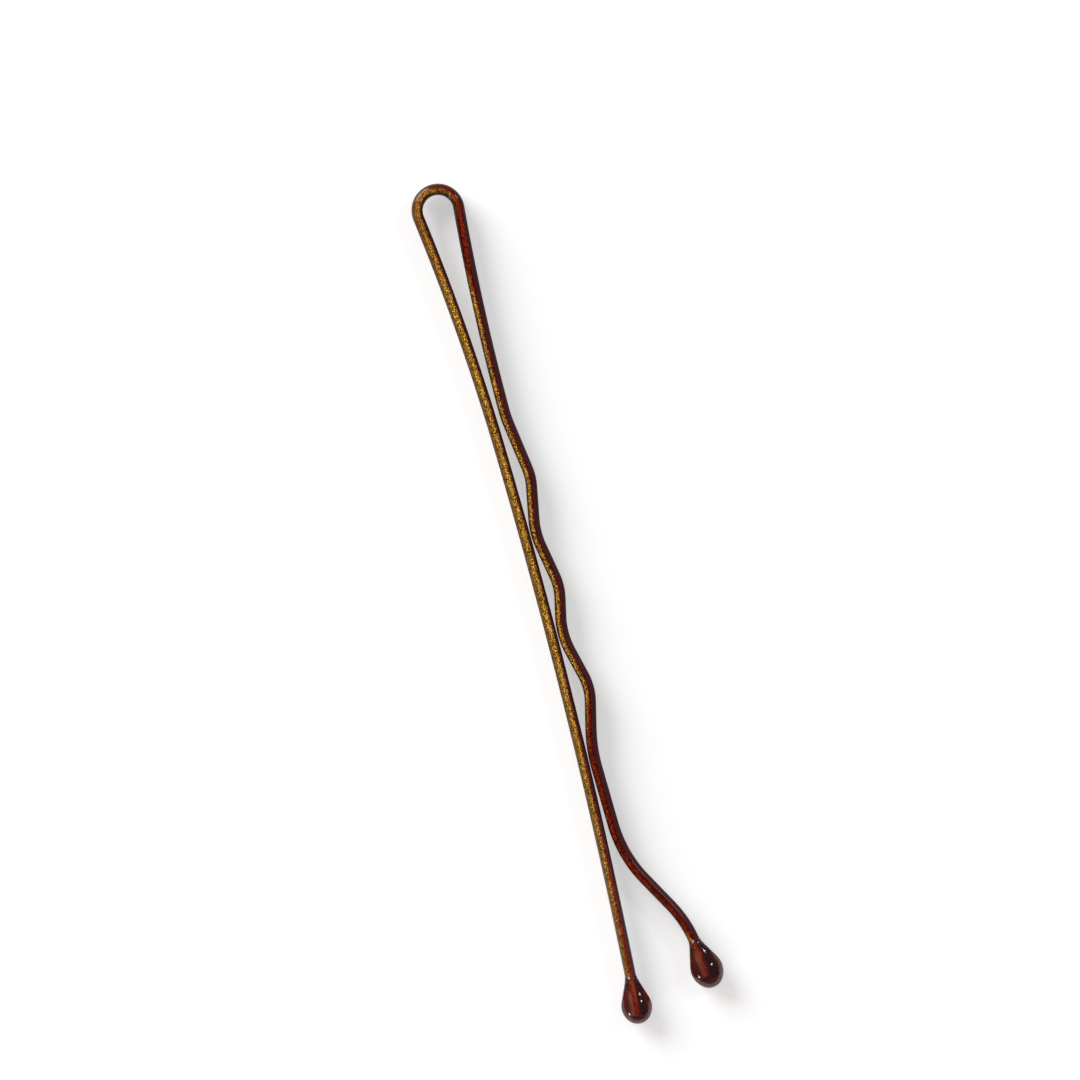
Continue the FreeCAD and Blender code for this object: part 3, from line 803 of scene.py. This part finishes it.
def clear_resin(resin):
    """Dark red-brown clear resin: glossy outside, darker with depth, and open to the lamps' light."""
    material, tree = new_tree("clear_resin")
    places = tree.node("ShaderNodeTexCoord", output="Object")
    scales = {"Scale": resin.ripples, "Detail": resin.ripple_detail}
    ripple = tree.node("ShaderNodeTexNoise", sockets={"Vector": places, **scales})
    depths = {"Strength": resin.ripple_strength, "Distance": resin.ripple_depth}
    gloss = tree.node(
        "ShaderNodeBsdfPrincipled",
        sockets={
            "Base Color": opaque(resin.skin),
            "Roughness": ripple * resin.more_roughness + resin.roughness,
            "Transmission Weight": 1.0,
            "IOR": resin.index,
            "Normal": tree.node("ShaderNodeBump", sockets={"Height": ripple, **depths}),
        },
    )
    body = {"Color": opaque(resin.body), "Density": resin.density}
    depth = tree.node("ShaderNodeVolumeAbsorption", sockets=body)
    lamp_ray = tree.node("ShaderNodeLightPath", output="Is Shadow Ray")
    open_way = tree.node("ShaderNodeBsdfTransparent")
    clear = tree.node("ShaderNodeMixShader", sockets={0: lamp_ray, 1: gloss, 2: open_way})
    tree.node("ShaderNodeOutputMaterial", sockets={"Surface": clear, "Volume": depth})
    return material


def pale_floor(stage):
    """A pale floor that keeps the pin's shadow and looks white to the camera and in the gloss."""
    material, tree = new_tree("pale_floor")
    matt = tree.node("ShaderNodeBsdfDiffuse", sockets={"Color": opaque(stage.floor)})
    seen = tree.node("ShaderNodeLightPath", output="Is Camera Ray")
    for kind in ("Glossy", "Transmission"):
        seen = tree.sum("MAXIMUM", seen, tree.node("ShaderNodeLightPath", output=f"Is {kind} Ray"))
    glow = tree.node("ShaderNodeEmission", sockets={"Color": WHITE, "Strength": seen * stage.floor_glow})
    both = tree.node("ShaderNodeAddShader", sockets={0: matt, 1: glow})
    tree.node("ShaderNodeOutputMaterial", sockets={"Surface": both})
    return material


def studio_air(stage):
    """A world of faint light, which the camera sees as white past the end of the floor."""
    world = bpy.data.worlds.new("studio")
    world.use_nodes = True
    world.node_tree.nodes.clear()
    tree = Signal(world.node_tree)
    seen = tree.node("ShaderNodeLightPath", output="Is Camera Ray")
    strength = seen * (1 - stage.air) + stage.air
    air = tree.node("ShaderNodeBackground", sockets={"Color": WHITE, "Strength": strength})
    tree.node("ShaderNodeOutputWorld", sockets={"Surface": air})
    return world


def dress(piece, material):
    piece.data.materials.clear()
    piece.data.materials.append(material)


# Operators


class BOBBYPIN_OT_wavy_wire(bpy.types.Operator):
    """Model the loop and the wavy leg"""

    bl_idname = "bobbypin.wavy_wire"
    bl_label = "Loop and wavy leg"

    def execute(self, context):
        settings = context.scene.bobby_pin
        moves, neck, lean = wavy_path(settings)
        piece = sweep_wire("wavy_wire", settings, moves, lean, "wavy")
        leans = (settings.flakes.straight_lean, settings.flakes.wavy_lean)
        enamel = flake_enamel("wavy_enamel", settings, WAVY_STOPS, *leans, -neck.y)
        dress(piece, enamel)
        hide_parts("bow", "wavy_shank", "first_wave", "second_wave", "flared_end")
        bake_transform(piece)
        return {"FINISHED"}


class BOBBYPIN_OT_straight_wire(bpy.types.Operator):
    """Model the straight leg"""

    bl_idname = "bobbypin.straight_wire"
    bl_label = "Straight leg"

    def execute(self, context):
        settings = context.scene.bobby_pin
        moves, neck, lean = straight_path(settings)
        piece = sweep_wire("straight_wire", settings, moves, lean, "straight")
        leans = (settings.flakes.straight_lean, settings.flakes.straight_lean)
        enamel = flake_enamel("straight_enamel", settings, STRAIGHT_STOPS, *leans, -neck.y)
        dress(piece, enamel)
        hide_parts("straight_leg")
        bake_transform(piece)
        return {"FINISHED"}


class BOBBYPIN_OT_tip_beads(bpy.types.Operator):
    """Model the resin bead on the end of each leg"""

    bl_idname = "bobbypin.tip_beads"
    bl_label = "Tip beads"

    def execute(self, context):
        settings = context.scene.bobby_pin
        resin = clear_resin(settings.resin)
        for side, path in zip(SIDES, (straight_path, wavy_path)):
            _, neck_place, lean = path(settings)
            piece = loft_bead(f"{side}_resin_bead", settings, side, neck_place, lean)
            dress(piece, resin)
            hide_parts(f"{side}_tip_bead")
            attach(piece, f"{side}_side")
        return {"FINISHED"}


def aim_at(place, target):
    return (target - place).to_track_quat("-Z", "Y").to_euler()


def towards(azimuth, elevation):
    """Direction to a lamp, with its azimuth counter-clockwise from +X seen from above, in degrees."""
    turn, rise = math.radians(azimuth), math.radians(elevation)
    return Vector((math.cos(turn) * math.cos(rise), math.sin(turn) * math.cos(rise), math.sin(rise)))


class BOBBYPIN_OT_stage(bpy.types.Operator):
    """Set the camera, the pale floor and the soft studio lamps"""

    bl_idname = "bobbypin.stage"
    bl_label = "Stage"

    def execute(self, context):
        stage = context.scene.bobby_pin.stage
        scene = context.scene
        scene.view_settings.view_transform = "Standard"
        aim = Vector((*stage.aim, 0))
        camera_height = stage.frame_width * stage.lens / SENSOR_WIDTH
        bpy.ops.object.camera_add(location=aim + Vector((0, 0, camera_height)), rotation=(0, 0, stage.turn))
        camera = context.object
        camera.name = "camera"
        camera.data.lens = stage.lens
        camera.data.sensor_width = SENSOR_WIDTH
        camera.data.clip_start = stage.clip_start
        scene.camera = camera

        bpy.ops.object.select_all(action="DESELECT")
        bpy.ops.mesh.primitive_plane_add(size=stage.floor_width, location=(0, 0, CAD_BOX[0].z))
        floor = context.object
        floor.name = "floor"
        floor.data.materials.append(pale_floor(stage))

        for kind in LAMPS:
            place = aim + towards(kind.azimuth, kind.elevation)
            bpy.ops.object.light_add(type="SUN", location=place, rotation=aim_at(place, aim))
            lamp = context.object
            lamp.name = kind.name
            lamp.data.angle = math.radians(kind.spread)
            lamp.data.energy = kind.strength
        scene.world = studio_air(stage)
        return {"FINISHED"}


class BOBBYPIN_PT_pin(bpy.types.Panel):
    """Lists the pieces of the pin in the order in which they are made"""

    bl_idname = "BOBBYPIN_PT_pin"
    bl_label = "Bobby Pin"
    bl_space_type = "VIEW_3D"
    bl_region_type = "UI"
    bl_category = "Bobby Pin"

    def draw(self, context):
        settings = context.scene.bobby_pin
        for operator in OPERATORS:
            self.layout.operator(operator.bl_idname)
        for part in PinSettings.__annotations__:
            group = getattr(settings, part)
            box = self.layout.box()
            for name in group.bl_rna.properties.keys():
                if name not in {"rna_type", "name"}:
                    box.prop(group, name)


GROUPS = (WireSizes, WaveSizes, BeadSizes, Flakes, Bands, Resin, StageSizes, PinSettings)
OPERATORS = (
    BOBBYPIN_OT_wavy_wire,
    BOBBYPIN_OT_straight_wire,
    BOBBYPIN_OT_tip_beads,
    BOBBYPIN_OT_stage,
)
CLASSES = (*GROUPS, *OPERATORS, BOBBYPIN_PT_pin)


def register():
    for item in CLASSES:
        bpy.utils.register_class(item)
    bpy.types.Scene.bobby_pin = PointerProperty(type=PinSettings)


def unregister():
    del bpy.types.Scene.bobby_pin
    for item in reversed(CLASSES):
        bpy.utils.unregister_class(item)


def main():
    register()
    bpy.ops.bobbypin.wavy_wire()
    bpy.ops.bobbypin.straight_wire()
    bpy.ops.bobbypin.tip_beads()
    bpy.ops.bobbypin.stage()


if __name__ == "__main__":
    main()
